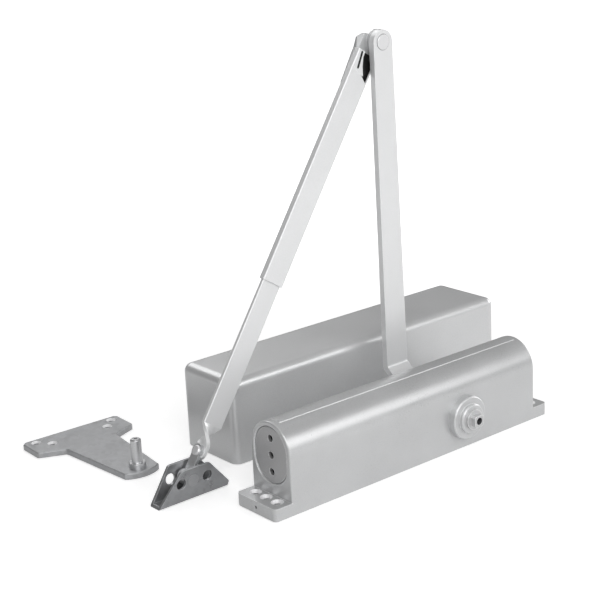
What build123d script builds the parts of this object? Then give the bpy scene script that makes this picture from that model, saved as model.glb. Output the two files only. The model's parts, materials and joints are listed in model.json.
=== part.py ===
from build123d import *
import math
import os

# Rack-and-pinion surface door closer, laid on its mounting face with its double-lever arm fitted,
# its cover and its parallel-arm bracket standing beside it. Millimetres.
# +X runs along the body to the valve end, +Y to the side that carries the arm, +Z away from the door.
# The origin is the centre of the body's mounting face.

# Fits and gaps
running = 0.05
seated = 0.02
slide_gap = 0.15
loose_gap = 0.3

# Foot screw pattern
screw_pitch_x = 305.0
screw_pitch_y = 14.3
screw_radius = 3.2
sink_radius = 5.4
sink_depth = 2.2

# Body casting
body_width = 51.0
foot_end_margin = 11.4
foot_length = 18.0
foot_thickness = 11.2
foot_corner = 4.0
arch_centre_height = 50.0
arch_edge = 1.6
crest_half_width = 6.5
crest_rise = 0.6
cover_screw_radius = 1.6
cover_screw_depth = 7.0

# Bores
bore_height = 46.1
bore_radius = 19.0
pinion_x = 54.1
pinion_height = 29.5
cross_bore_radius = 13.5

# Spring end
end_plate_thickness = 3.0
end_plate_recess = 0.8
end_plate_radius = 21.0
end_plate_stretch = 8.5
end_plate_edge = 1.1
end_plate_groove = 0.6
spanner_offset = 14.8
spanner_radius = 3.2
spring_plug_length = 15.0
spanner_depth = 9.5
adjust_radius = 4.5
adjust_socket = 5.0
adjust_socket_depth = 6.0
adjust_length = 44.0
adjust_pitch = 2.5
seat_thickness = 5.0
seat_start = 4.0

# Spring
wire_radius = 2.7
spring_mean_radius = 14.0
spring_turns = 8

# Rack and pinion
gear_module = 2.0
pinion_teeth = 10
pressure_angle = 25.0
rack_addendum = 0.8
pinion_addendum = 1.0
backlash = 0.25
pinion_face = 24.0
piston_travel = 27.0
piston_head_left = 16.0
piston_head_right = 15.0
piston_clearance_x = 2.5
bypass_radius = 3.0

# Hydraulic end
hydraulic_plug_length = 14.0
hydraulic_plug_socket = 10.0
valve_radius = 3.5
valve_inset = 10.5
valve_height = 20.0
valve_depth = 26.0
valve_slot = 1.2

# Seal rings
ring_radius = 1.4

# Pinion bearings, glands and ends
journal_radius = 8.0
bearing_length = 8.0
gland_flange_radius = 19.7
gland_flange = 7.5
gland_step_radius = 13.5
gland_step = 3.6
gland_edge = 0.9
collar_radius = 9.2
collar_length = 2.2
square_side = 10.4
square_corner_radius = 6.45
square_length = 5.3
end_thread_radius = 3.4
end_thread_depth = 13.0

# Main arm
arm_length = 325.5
arm_lean = -1.2
arm_thickness = 6.0
arm_front = 58.7
arm_width_low = 25.0
arm_width_top = 21.8
arm_hub_radius = 15.5
arm_hub_thickness = 5.2
arm_crank_top = 29.0
arm_crank_bottom = 12.0
arm_crank_drop = 3.0
arm_crank_round = 4.0
arm_crank_inner_round = 2.5
arm_edge = 0.8
elbow_hole_radius = 4.5

# Arm screw and washer
arm_washer_radius = 8.5
arm_washer_thickness = 1.4
arm_screw_head_radius = 6.5
arm_screw_head = 5.0
arm_screw_length = 12.0
arm_screw_socket = 6.0

# Elbow
elbow_washer_radius = 9.0
elbow_washer_thickness = 0.5
elbow_head_radius = 6.7
elbow_head = 0.7
elbow_tail = 1.4
elbow_offset = 4.6

# Forearm
forearm_length = 408.6
channel_width = 23.4
channel_depth = 6.4
channel_wall = 1.25
channel_start = 14.0
channel_end = 229.5
knuckle_depth = 8.4
lobe_radius = 10.8
lobe_thickness = 3.0
rivet_pocket_radius = 7.3
knuckle_wall = 1.5
knuckle_right_top = 6.0
knuckle_left_in = 8.5
knuckle_left_top = 1.5
knuckle_left_out = 13.6
knuckle_left_low = -4.5
knuckle_corner = 2.5
knuckle_slant = 4.0
wedge_start = 5.0
wedge_length = 33.0
window_edge = 0.5
window_step = 2.4
window_neck = 7.0
window_slope = 8.5
window_low = 32.0
window_end = 38.0
tongue_length = 24.0
tongue_thickness = 1.6
detent_radius = 1.9
detent_place = 52.0
bar_overlap = 78.0
twist_length = 18.0
bar_end_neck = 6.5
twist_steps = 6
bar_end_radius = 7.0
clamp_radius = 3.0
clamp_head_radius = 4.6
clamp_head = 2.6
clamp_inset = 14.0

# Swivel
swivel_link = 24.0
ear_thickness = 3.0
ear_radius = 6.0
swivel_rivet_radius = 3.0
swivel_head_radius = 4.4
swivel_head = 1.6
swivel_hub_radius = 6.6
swivel_hub_half = 5.0

# Shoe
shoe_pivot_height = 17.4
shoe_height = 29.0
shoe_sheet = 2.3
shoe_gap = 9.2
shoe_bottom_left = 34.3
shoe_bottom_right = 36.7
shoe_top_left = 12.0
shoe_top_right = 17.0
shoe_toe_height = 4.6
shoe_corner = 2.5
shoe_splay = 3.6
shoe_bend = 1.8
flange_hole_radius = 4.8
flange_hole_left = 12.0
flange_hole_right = 14.8
shoe_rivet_radius = 3.6
shoe_rivet_head_radius = 5.4
shoe_rivet_head = 0.35
web_screw_radius = 2.3
web_screw_offset = 24.5

# Cover
cover_sheet = 1.5
cover_end_gap = 0.6
cover_top_gap = 1.0
cover_width = 75.4
cover_corner = 8.0
cover_centre_x = 50.4
cover_centre_y = 126.6
cover_slot_gap = 0.8

# Parallel-arm bracket
bracket_x = -184.6
bracket_y = 141.6
bracket_turn = -2.1
plate_thickness = 5.5
bar_half_length = 50.5
bar_far = 120.5
bar_near_at_tip = 90.0
neck_v = 79.5
neck_half_width = 26.2
toe_half_width = 17.4
toe_v = -7.0
toe_bulge = 6.0
plate_corner = 3.0
plate_edge = 0.8
outer_hole_u = 40.0
outer_hole_v = 112.4
inner_hole_u = 29.2
inner_hole_v = 101.0
bracket_hole_radius = 3.0
bracket_sink_radius = 4.6
stud_radius = 4.85
stud_height = 26.5
stud_collar_radius = 7.5
stud_collar = 4.6
stud_tip = 1.3
stud_centre_radius = 1.6

# Sizes that follow from the ones above
body_length = screw_pitch_x + 2 * foot_end_margin
half_length = body_length / 2
half_width = body_width / 2
housing_end = half_length - foot_length
body_top = arch_centre_height + half_width
pitch_radius = gear_module * pinion_teeth / 2
rack_pitch_height = pinion_height + pitch_radius
rack_root_height = rack_pitch_height + gear_module * (pinion_addendum + 0.25)
rack_tip_height = rack_pitch_height - gear_module * rack_addendum
rack_flank_height = pinion_height + cross_bore_radius + loose_gap
tip_radius = pitch_radius + gear_module * pinion_addendum
root_radius = pitch_radius - gear_module * (rack_addendum + 0.3)
gland_front = half_width + gland_flange
gland_end = gland_front + gland_step
collar_end = gland_end + collar_length
pinion_end = collar_end + square_length
valve_offset_y = half_width - valve_inset
plug_outer_x = -housing_end + end_plate_recess + end_plate_thickness
plug_inner_x = plug_outer_x + spring_plug_length
seat_x = plug_inner_x + seat_start
piston_window_left = pinion_x - tip_radius - piston_clearance_x
piston_window_right = pinion_x + piston_travel + tip_radius + piston_clearance_x
piston_left = piston_window_left - piston_head_left
piston_right = piston_window_right + piston_head_right
arm_back = arm_front + arm_thickness
hub_near = collar_end + loose_gap
hub_far = hub_near + arm_hub_thickness
bar_width = channel_width - 2 * channel_wall - 2 * slide_gap
bar_thickness = channel_depth - 2 * channel_wall - 2 * slide_gap
elbow_x = pinion_x + arm_length * math.sin(math.radians(arm_lean))
elbow_z = pinion_height + arm_length * math.cos(math.radians(arm_lean))
ear_centre = bar_thickness / 2 + running + ear_thickness / 2
pivot_shift = elbow_offset + ear_centre
pivot_span = math.hypot(forearm_length, pivot_shift)
pivot_turn = math.degrees(math.acos((elbow_z - shoe_pivot_height) / pivot_span))
forearm_turn = pivot_turn - math.degrees(math.atan(pivot_shift / forearm_length))
channel_near = arm_back + elbow_washer_thickness + running
channel_far = channel_near + channel_depth
knuckle_far = channel_near + knuckle_depth
lobe_far = channel_near + lobe_thickness
bar_centre_y = channel_near + channel_wall + slide_gap + bar_thickness / 2
shoe_half_width = shoe_gap / 2 + shoe_sheet
shoe_lean = math.degrees(math.atan(shoe_splay / shoe_height))
shoe_pivot_half_width = shoe_half_width + shoe_splay * shoe_pivot_height / shoe_height
swivel_rivet_s = forearm_length - swivel_link
twist_end = swivel_rivet_s - bar_end_neck
twist_start = twist_end - twist_length
cover_length = body_length + 2 * cover_end_gap + 2 * cover_sheet
cover_height = body_top + crest_rise + cover_top_gap + cover_sheet


def rod(radius, start, end, axis="Z"):
    """A solid cylinder along one axis, between two places on it."""
    body = extrude(Plane.XY.offset(start) * Circle(radius), end - start)
    if axis == "X":
        return Rot(0, 90, 0) * body
    if axis == "Y":
        return Rot(-90, 0, 0) * body
    return body


def ring_solid(outer, inner, start, end, axis="Z"):
    """A plain ring along one axis."""
    return rod(outer, start, end, axis) - rod(inner, start - 1, end + 1, axis)


def seal_ring(groove_radius, across_radius, axis_place, axis):
    """A round-section seal ring whose outside fits the bore it seals."""
    mean = across_radius - ring_radius - seated
    torus = Torus(mean, ring_radius)
    turned = Rot(0, 90, 0) * torus if axis == "X" else Rot(90, 0, 0) * torus
    place = Pos(axis_place, 0, bore_height) if axis == "X" else Pos(pinion_x, axis_place, pinion_height)
    return place * turned


def hex_socket(across_flats, depth):
    """A hexagonal pocket that opens at z = 0 and goes down."""
    return extrude(Plane.XY.offset(-depth) * RegularPolygon(across_flats / math.sqrt(3), 6), depth + 1)


def arch_profile(width, centre_height, bottom=0.0):
    """Flat-bottomed outline with straight sides and a half-round top, in the YZ plane."""
    half = width / 2
    outline = Polyline((-half, centre_height), (-half, bottom), (half, bottom), (half, centre_height))
    top = ThreePointArc((half, centre_height), (0, centre_height + half), (-half, centre_height))
    return make_face(Plane.YZ * (outline + top))


def long_round(radius, stretch, centre_height):
    """The end plate's outline: two half circles with straight sides between them."""
    upper = centre_height + stretch / 2
    lower = centre_height - stretch / 2
    outline = (
        Line((-radius, upper), (-radius, lower))
        + ThreePointArc((-radius, lower), (0, lower - radius), (radius, lower))
        + Line((radius, lower), (radius, upper))
        + ThreePointArc((radius, upper), (0, upper + radius), (-radius, upper))
    )
    return make_face(Plane.YZ * outline)


def crest():
    """The slightly raised band along the top of the arch."""
    outer = Circle(half_width + crest_rise) - Circle(half_width - 1)
    band = outer & Pos(0, half_width) * Rectangle(2 * crest_half_width, 8)
    placed = Plane.YZ * (Pos(0, arch_centre_height) * band)
    return extrude(Pos(-housing_end + 6, 0, 0) * placed, 2 * housing_end - 12, dir=(1, 0, 0))


def foot_holes():
    """Three countersunk screw holes across each foot, and the cover screw hole in each foot end."""
    holes = []
    for side in (-1, 1):
        x = side * screw_pitch_x / 2
        for row in (-1, 0, 1):
            shank = rod(screw_radius, -1, foot_thickness + 1)
            sink = Pos(0, 0, foot_thickness - sink_depth / 2) * Cone(screw_radius, sink_radius, sink_depth)
            holes.append(Pos(x, row * screw_pitch_y, 0) * (shank + sink))
        tap = rod(cover_screw_radius, 0, cover_screw_depth, "X")
        tap = Pos(-half_length, 0, foot_thickness / 2) * tap if side < 0 else \
            Pos(half_length - cover_screw_depth, 0, foot_thickness / 2) * tap
        holes.append(tap)
    return holes


def closer_body():
    """The cast housing with its feet, main bore, pinion bore, end recess and valve holes."""
    housing = extrude(Pos(-housing_end, 0, 0) * arch_profile(body_width, arch_centre_height), 2 * housing_end,
                      dir=(1, 0, 0))
    rims = [e for e in housing.edges()
            if abs(abs(e.center().X) - housing_end) < 0.01 and e.center().Z > foot_thickness]
    housing = fillet(rims, arch_edge)
    feet = extrude(Rectangle(body_length, body_width), foot_thickness)
    corners = feet.edges().filter_by(Axis.Z)
    feet = fillet(corners, foot_corner)
    solid = housing + feet + crest()
    solid -= foot_holes()
    solid -= rod(bore_radius, plug_outer_x - 1, housing_end + 1, "X").moved(Location((0, 0, bore_height)))
    recess = Pos(-housing_end - 1, 0, 0) * long_round(end_plate_radius + seated, end_plate_stretch, bore_height)
    solid -= extrude(recess, plug_outer_x + housing_end + 1, dir=(1, 0, 0))
    groove = Pos(-housing_end - 1, 0, 0) * long_round(end_plate_radius + end_plate_groove, end_plate_stretch,
                                                      bore_height)
    solid -= extrude(groove, end_plate_recess + 1, dir=(1, 0, 0))
    solid -= rod(cross_bore_radius, -half_width - 1, half_width + 1, "Y").moved(
        Location((pinion_x, 0, pinion_height)))
    for side in (-1, 1):
        hole = rod(valve_radius + running, housing_end - valve_depth, housing_end + 1, "X")
        solid -= hole.moved(Location((0, side * valve_offset_y, valve_height)))
    return solid


def spring_end_plate():
    """Long round closing plate at the spring end, with its three holes."""
    plate = extrude(Pos(-housing_end + end_plate_recess, 0, 0)
                    * long_round(end_plate_radius, end_plate_stretch, bore_height),
                    end_plate_thickness - seated, dir=(1, 0, 0))
    outer = plate.faces().sort_by(Axis.X)[0].edges()
    plate = chamfer(outer, end_plate_edge)
    for step in (-1, 0, 1):
        hole = rod(spanner_radius, -housing_end - 1, plug_outer_x + 1, "X")
        plate -= hole.moved(Location((0, 0, bore_height + step * spanner_offset)))
    return plate


def spring_end_plug():
    """Round plug that closes the spring end, drilled for the adjusting screw and a pin spanner."""
    plug = rod(bore_radius - seated, plug_outer_x, plug_inner_x, "X")
    plug -= rod(adjust_radius + running, plug_outer_x - 1, plug_inner_x + 1, "X")
    for side in (-1, 1):
        pocket = rod(spanner_radius, plug_outer_x - 1, plug_outer_x + spanner_depth, "X")
        plug -= pocket.moved(Location((0, 0, side * spanner_offset)))
    groove = ring_solid(bore_radius + 1, bore_radius - 2 * ring_radius - 2 * seated,
                        plug_inner_x - 3 * ring_radius, plug_inner_x - ring_radius, "X")
    plug -= groove
    return Pos(0, 0, bore_height) * plug


def spring_adjust_screw():
    """Adjusting screw with a hexagon socket, running through the plug into the spring seat."""
    start = plug_outer_x + 1.0
    screw = rod(adjust_radius, start, start + adjust_length, "X")
    socket = Rot(0, -90, 0) * hex_socket(adjust_socket, adjust_socket_depth)
    screw -= Pos(start, 0, 0) * socket
    collar = rod(adjust_radius + 3, plug_inner_x + running, plug_inner_x + seat_start - 1, "X")
    return Pos(0, 0, bore_height) * (screw + collar)


def spring_seat():
    """Seat ring that the screw moves along the bore to load the spring."""
    seat = rod(bore_radius - loose_gap, seat_x, seat_x + seat_thickness, "X")
    guide = rod(spring_mean_radius - wire_radius - 1, seat_x + seat_thickness, seat_x + 2 * seat_thickness, "X")
    seat = seat + guide - rod(adjust_radius + running, seat_x - 1, seat_x + 3 * seat_thickness, "X")
    return Pos(0, 0, bore_height) * seat


def main_spring():
    """Closing spring between its seat and the piston, with its wire as plain turns."""
    start = seat_x + seat_thickness + wire_radius + loose_gap
    end = piston_left - wire_radius - loose_gap
    coil = Helix(pitch=(end - start) / spring_turns, height=end - start, radius=spring_mean_radius)
    wire = sweep(Plane(coil @ 0, z_dir=coil % 0) * Rectangle(1.7 * wire_radius, 1.7 * wire_radius),
                 path=coil, is_frenet=True)
    return Pos(start, 0, bore_height) * (Rot(0, 90, 0) * wire)


def involute(base_radius, radius):
    """Polar angle of the involute at a radius."""
    angle = math.acos(min(1.0, base_radius / radius))
    return math.tan(angle) - angle


def pinion_profile():
    """Cross-section of the toothed length, with involute flanks and a tooth space pointing up."""
    base = pitch_radius * math.cos(math.radians(pressure_angle))
    half_tooth = math.pi / (2 * pinion_teeth) - backlash / (2 * pitch_radius)
    half_at_base = half_tooth + involute(base, pitch_radius)
    flank = [base + (tip_radius - base) * step / 4 for step in range(5)]
    points = []
    for tooth in range(pinion_teeth):
        middle = math.pi / 2 + math.pi / pinion_teeth + tooth * 2 * math.pi / pinion_teeth
        side = [(r, half_at_base - involute(base, r)) for r in flank]
        rising = [(root_radius, -half_at_base)] + [(r, -a) for r, a in side]
        falling = [(r, a) for r, a in reversed(side)] + [(root_radius, half_at_base)]
        points += [(r * math.cos(middle + a), r * math.sin(middle + a)) for r, a in rising + falling]
    return make_face(Polyline(*points, close=True))


def pinion_shaft():
    """Toothed pinion on its journals, with a square and a tapped hole at each end."""
    teeth = extrude(Plane.XZ.offset(-pinion_face / 2) * pinion_profile(), pinion_face)
    shaft = rod(journal_radius, -gland_end, gland_end, "Y")
    shaft += ring_solid(collar_radius, 1, gland_end + running, collar_end, "Y")
    shaft += ring_solid(collar_radius, 1, -collar_end, -gland_end - running, "Y")
    shaft += rod(1.5, -collar_end, collar_end, "Y")
    square = Rot(0, arm_lean, 0) * Box(square_side, 2 * pinion_end, square_side)
    square &= rod(square_corner_radius, -pinion_end, pinion_end, "Y")
    shaft = shaft + square + teeth
    for side in (-1, 1):
        tap = rod(end_thread_radius, 0, end_thread_depth + 1, "Y")
        shaft -= tap.moved(Location((0, pinion_end - end_thread_depth, 0))) if side > 0 else \
            tap.moved(Location((0, -pinion_end - 1, 0)))
    return Pos(pinion_x, 0, pinion_height) * shaft


def rack_teeth_gaps():
    """Prisms that cut the rack's tooth spaces out of its underside, one tooth above the pinion axis."""
    pitch = math.pi * gear_module
    slope = math.tan(math.radians(pressure_angle))
    half_gap = pitch / 4
    top = half_gap - (rack_root_height - rack_pitch_height) * slope
    low = half_gap + (rack_pitch_height - rack_tip_height + 1) * slope
    gaps = []
    first = math.ceil((piston_window_left + low - pinion_x) / pitch - 0.5)
    last = math.floor((piston_window_right - low - pinion_x) / pitch - 0.5)
    for index in range(first, last + 1):
        x = pinion_x + (index + 0.5) * pitch
        outline = Polyline((x - low, rack_tip_height - 1), (x - top, rack_root_height),
                           (x + top, rack_root_height), (x + low, rack_tip_height - 1), close=True)
        gaps.append(extrude(Plane.XZ.offset(-bore_radius) * make_face(outline), 2 * bore_radius))
    return gaps


def piston_rack():
    """Piston with a head at each end and the rack along its cut-away middle."""
    piston = rod(bore_radius - running, piston_left, piston_right, "X").moved(Location((0, 0, bore_height)))
    window = Pos((piston_window_left + piston_window_right) / 2, 0, rack_tip_height - bore_radius) * Box(
        piston_window_right - piston_window_left, 3 * bore_radius, 2 * bore_radius)
    piston -= window
    for side in (-1, 1):
        flank = Pos(0, side * (pinion_face / 2 + bore_radius), rack_flank_height - bore_radius) * Box(
            piston_window_right - piston_window_left, 2 * bore_radius, 2 * bore_radius)
        piston -= Pos((piston_window_left + piston_window_right) / 2, 0, 0) * flank
    piston -= rack_teeth_gaps()
    passage = rod(bypass_radius, piston_window_right - 1, piston_right + 1, "X")
    piston -= passage.moved(Location((0, 0, bore_height)))
    pocket = rod(bypass_radius + 1.5, piston_right - 6, piston_right + 1, "X")
    piston -= pocket.moved(Location((0, 0, bore_height)))
    return piston


def check_ball():
    """Ball that closes the passage through the piston head when the door closes."""
    return Pos(piston_right - 3.2, 0, bore_height) * Sphere(bypass_radius + 0.9)


def hydraulic_end_plug():
    """Round plug with a hexagon socket at the valve end."""
    start = housing_end - hydraulic_plug_length
    plug = rod(bore_radius - seated, start, housing_end - 0.5, "X")
    socket = Rot(0, 90, 0) * hex_socket(hydraulic_plug_socket, hydraulic_plug_length / 2)
    plug -= Pos(housing_end - 0.5, 0, 0) * socket
    plug -= ring_solid(bore_radius + 1, bore_radius - 2 * ring_radius - 2 * seated,
                       start + ring_radius, start + 3 * ring_radius, "X")
    return Pos(0, 0, bore_height) * plug


def valve(side):
    """Slotted closing-speed valve screw in the end face; its pointed nose meters the oil."""
    tip = housing_end - valve_depth + 1
    screw = rod(valve_radius, tip + 5, housing_end - 1.0, "X")
    nose = Pos(tip + 2.5, 0, 0) * Rot(0, 90, 0) * Cone(1.0, valve_radius, 5)
    slot = Pos(housing_end - 1.0, 0, 0) * Box(3, 2 * valve_radius + 1, valve_slot)
    return Pos(0, side * valve_offset_y, valve_height) * (screw + nose - slot)


def pinion_bearing(side):
    """Bearing ring that carries one journal of the pinion."""
    inner = pinion_face / 2 + 0.5
    body = ring_solid(cross_bore_radius - seated, journal_radius + running, inner, inner + bearing_length, "Y")
    return Pos(pinion_x, 0, pinion_height) * (body if side > 0 else mirror(body, Plane.XZ))


def gland_nut(side):
    """Stepped gland that screws in against the bearing and holds the shaft seal."""
    start = pinion_face / 2 + 0.5 + bearing_length + seated
    spigot = rod(cross_bore_radius - seated, start, half_width + 0.5, "Y")
    flange = rod(gland_flange_radius, half_width + seated, gland_front, "Y")
    flange = chamfer(flange.edges().filter_by(GeomType.CIRCLE).sort_by(Axis.Y)[-1], gland_edge)
    step = rod(gland_step_radius, gland_front, gland_end, "Y")
    step = chamfer(step.edges().filter_by(GeomType.CIRCLE).sort_by(Axis.Y)[-1], gland_edge)
    nut = spigot + flange + step
    nut -= rod(journal_radius + running, start - 1, gland_end + 1, "Y")
    middle = half_width + gland_flange / 2
    nut -= ring_solid(journal_radius + 2 * ring_radius, 1, middle - ring_radius - seated,
                      middle + ring_radius + seated, "Y")
    return Pos(pinion_x, 0, pinion_height) * (nut if side > 0 else mirror(nut, Plane.XZ))


def pinion_seal(side):
    """Round-section ring in the gland's groove, round the pinion journal."""
    ring = Rot(90, 0, 0) * Torus(journal_radius + ring_radius + running, ring_radius - running)
    return Pos(pinion_x, side * (half_width + gland_flange / 2), pinion_height) * ring


def main_arm():
    """Flat steel lever: square-holed hub, a crank outwards, then a long tapering blade."""
    hub_y = (hub_near + hub_far) / 2
    inner_bottom = arm_washer_radius + 1.3
    inner_top = arm_crank_top - arm_crank_drop
    profile = Polyline((hub_near, -arm_hub_radius - 1), (hub_near, arm_crank_bottom), (arm_front, arm_crank_top),
                       (arm_front, arm_length + arm_width_top), (arm_back, arm_length + arm_width_top),
                       (arm_back, inner_top), (hub_far, inner_bottom), (hub_far, -arm_hub_radius - 1), close=True)
    side_view = extrude(Plane.YZ.offset(-arm_hub_radius - 2) * make_face(profile), 2 * arm_hub_radius + 4)
    low = arm_width_low / 2
    top = arm_width_top / 2
    blade = Polyline((-low, 0), (-low, arm_crank_top), (-top, arm_length), (top, arm_length),
                     (low, arm_crank_top), (low, 0), close=True)
    front_view = make_face(blade) + Circle(arm_hub_radius) + Pos(0, arm_length) * Circle(top)
    front_view = extrude(Plane.XZ.offset(-hub_near + 5) * front_view, -(arm_back - hub_near + 10))
    arm = side_view & front_view

    def creases(*heights):
        return [e for e in arm.edges().filter_by(Axis.X) if min(abs(e.center().Z - z) for z in heights) < 0.5]

    arm = fillet(creases(arm_crank_bottom, arm_crank_top, inner_top), arm_crank_round)
    arm = fillet(creases(inner_bottom), arm_crank_inner_round)
    arm -= rod(elbow_hole_radius + seated, arm_front - 1, arm_back + 1, "Y").moved(Location((0, 0, arm_length)))
    hole = square_side + 2 * running
    arm -= Pos(0, hub_y, 0) * Box(hole, 3 * arm_hub_thickness, hole)
    return Pos(pinion_x, 0, pinion_height) * (Rot(0, arm_lean, 0) * arm)


def arm_washer():
    """Plain washer between the arm's hub and its screw."""
    washer = ring_solid(arm_washer_radius, end_thread_radius + loose_gap, hub_far, hub_far + arm_washer_thickness, "Y")
    return Pos(pinion_x, 0, pinion_height) * washer


def arm_screw():
    """Socket-head screw that holds the arm on the pinion's square."""
    head_start = hub_far + arm_washer_thickness
    screw = rod(end_thread_radius - seated, head_start - arm_screw_length, head_start + 1, "Y")
    head = rod(arm_screw_head_radius, head_start, head_start + arm_screw_head, "Y")
    head = chamfer(head.edges().filter_by(GeomType.CIRCLE).sort_by(Axis.Y)[-1], 0.6)
    socket = Rot(-90, 0, 0) * hex_socket(arm_screw_socket, arm_screw_head / 2)
    return Pos(pinion_x, 0, pinion_height) * (screw + head - Pos(0, head_start + arm_screw_head, 0) * socket)


def elbow_washer():
    """Thin washer between the arm and the forearm's knuckle."""
    return Pos(elbow_x, 0, elbow_z) * ring_solid(elbow_washer_radius, elbow_hole_radius + running, arm_back,
                                                 arm_back + elbow_washer_thickness, "Y")


def elbow_rivet():
    """Rivet fixed in the arm, on which the forearm's knuckle turns; its tail sits in the knuckle's pocket."""
    tail_start = lobe_far + running
    shank = rod(elbow_hole_radius, arm_front, tail_start, "Y")
    head = rod(elbow_head_radius, arm_front - elbow_head, arm_front, "Y")
    head = chamfer(head.edges().filter_by(GeomType.CIRCLE).sort_by(Axis.Y)[0], elbow_head / 2)
    tail = rod(elbow_head_radius, tail_start, tail_start + elbow_tail, "Y")
    tail = chamfer(tail.edges().filter_by(GeomType.CIRCLE).sort_by(Axis.Y)[-1], elbow_tail / 2)
    return Pos(elbow_x, 0, elbow_z) * (shank + head + tail)


def in_forearm(shape):
    """Place a shape, made hanging straight down with the channel's middle at x = 0, along the forearm."""
    return Pos(elbow_x, 0, elbow_z) * (Rot(0, forearm_turn, 0) * (Pos(-elbow_offset, 0, 0) * shape))


def forearm_knuckle():
    """Pierced lobe with a thick root behind it, a tongue into the channel and a wedge behind the channel."""
    half = channel_width / 2
    floor = -channel_start + seated
    lobe = rod(lobe_radius, channel_near, lobe_far, "Y").moved(Location((elbow_offset, 0, 0)))
    outline = make_face(Polyline((half, floor), (half, knuckle_right_top), (-knuckle_left_in, knuckle_left_top),
                                 (-knuckle_left_out, knuckle_left_low), (-half, floor), close=True))
    corners = outline.vertices().filter_by(lambda v: v.X < 0 and v.Y > floor + 1)
    outline = fillet(corners, knuckle_corner)
    root = extrude(Plane.XZ.offset(-channel_near) * outline, -knuckle_depth)
    plan = make_face(Polyline((-half - knuckle_slant, channel_near - 1), (-half + knuckle_slant, channel_near - 1),
                              (-knuckle_left_out - 1, knuckle_far), (-half - knuckle_slant, knuckle_far),
                              close=True))
    root -= extrude(Plane.XY.offset(-channel_start - 1) * plan, 2 * channel_start)
    space = Pos(knuckle_wall, channel_near + lobe_thickness / 2 - 1, 0) * Box(
        channel_width + 2 * knuckle_slant - 2 * knuckle_wall, lobe_thickness + 2, 4 * channel_start)
    root -= space
    block = root + lobe
    block -= rod(elbow_hole_radius + running, channel_near - 1, knuckle_far + 1, "Y").moved(
        Location((elbow_offset, 0, 0)))
    block -= rod(rivet_pocket_radius, lobe_far, knuckle_far + 1, "Y").moved(Location((elbow_offset, 0, 0)))
    tongue = Pos(0, channel_far - channel_wall - seated - tongue_thickness / 2, -channel_start - tongue_length / 2 + 1) \
        * Box(bar_width, tongue_thickness, tongue_length + 2)
    wedge_back = channel_far + seated
    wedge = Polyline((wedge_back, -channel_start + 1), (knuckle_far, -channel_start + 1),
                     (knuckle_far, -channel_start - wedge_start), (wedge_back, -channel_start - wedge_length),
                     close=True)
    wedge = extrude(Plane.YZ.offset(-half) * make_face(wedge), channel_width)
    return in_forearm(block + tongue + wedge)


def forearm_channel():
    """Flat folded tube that the forearm bar slides in, with the slot and detent hole in its near face."""
    half = channel_width / 2
    length = channel_end - channel_start
    outside = Pos(0, (channel_near + channel_far) / 2, -channel_start - length / 2) * Box(
        channel_width, channel_depth, length)
    outside = fillet(outside.edges().filter_by(Axis.Z), 1.0)
    inside = Pos(0, (channel_near + channel_far) / 2, -channel_start - length / 2) * Box(
        channel_width - 2 * channel_wall, channel_depth - 2 * channel_wall, length + 2)
    tube = outside - inside
    near_cut = Plane.XZ.offset(-channel_near + 1)
    right = half - channel_wall - window_edge
    left = -half + channel_wall + window_edge
    window = make_face(Polyline((left, -channel_start + 1), (left, -channel_start - 1),
                                (left + window_step, -channel_start - window_neck),
                                (left + window_slope, -window_low), (right, -window_end),
                                (right, -channel_start + 1), close=True))
    tube -= extrude(near_cut * window, -(channel_wall + 1.5))
    clamp = rod(clamp_radius + running, channel_far - channel_wall - 1, channel_far + 1, "Y")
    tube -= clamp.moved(Location((0, 0, -channel_end + clamp_inset)))
    detent = rod(detent_radius, channel_far - channel_wall - 1, channel_far + 1, "Y")
    tube -= detent.moved(Location((0, 0, -detent_place)))
    return in_forearm(tube)


def clamp_screw():
    """Screw in the channel's far wall that grips the bar at the chosen length."""
    screw = rod(clamp_radius, channel_far - channel_wall + running, channel_far + clamp_head, "Y")
    head = rod(clamp_head_radius, channel_far, channel_far + clamp_head, "Y")
    slot = Pos(0, channel_far + clamp_head, 0) * Box(2 * clamp_head_radius + 1, 2.0, 1.2)
    return in_forearm(Pos(0, 0, -channel_end + clamp_inset) * (screw + head - slot))


def forearm_bar():
    """Flat bar that slides in the channel and twists a quarter turn above its pierced end."""
    start = channel_end - bar_overlap
    straight = Pos(0, bar_centre_y, -(start + twist_start) / 2) * Box(bar_width, bar_thickness, twist_start - start)
    straight = chamfer(straight.edges().filter_by(Axis.Z), 0.4)
    end_width = 2 * bar_end_radius
    sections = []
    for step in range(twist_steps + 1):
        share = step / twist_steps
        width = bar_width + (end_width - bar_width) * share
        plane = Plane(origin=(0, bar_centre_y, -twist_start - (twist_end - twist_start) * share))
        sections.append(plane * (Rot(0, 0, 90 * share) * Rectangle(width, bar_thickness)))
    twist = loft(sections, ruled=True)
    outline = Polyline((-bar_end_radius, -twist_end), (-bar_end_radius, -swivel_rivet_s),
                       (bar_end_radius, -swivel_rivet_s), (bar_end_radius, -twist_end), close=True)
    eye = make_face(outline) + Pos(0, -swivel_rivet_s) * Circle(bar_end_radius)
    eye -= Pos(0, -swivel_rivet_s) * Circle(swivel_rivet_radius + seated)
    plate = Pos(-bar_thickness / 2, bar_centre_y, 0) * extrude(Plane.YZ * eye, bar_thickness)
    return in_forearm(straight + twist + plate)


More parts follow.
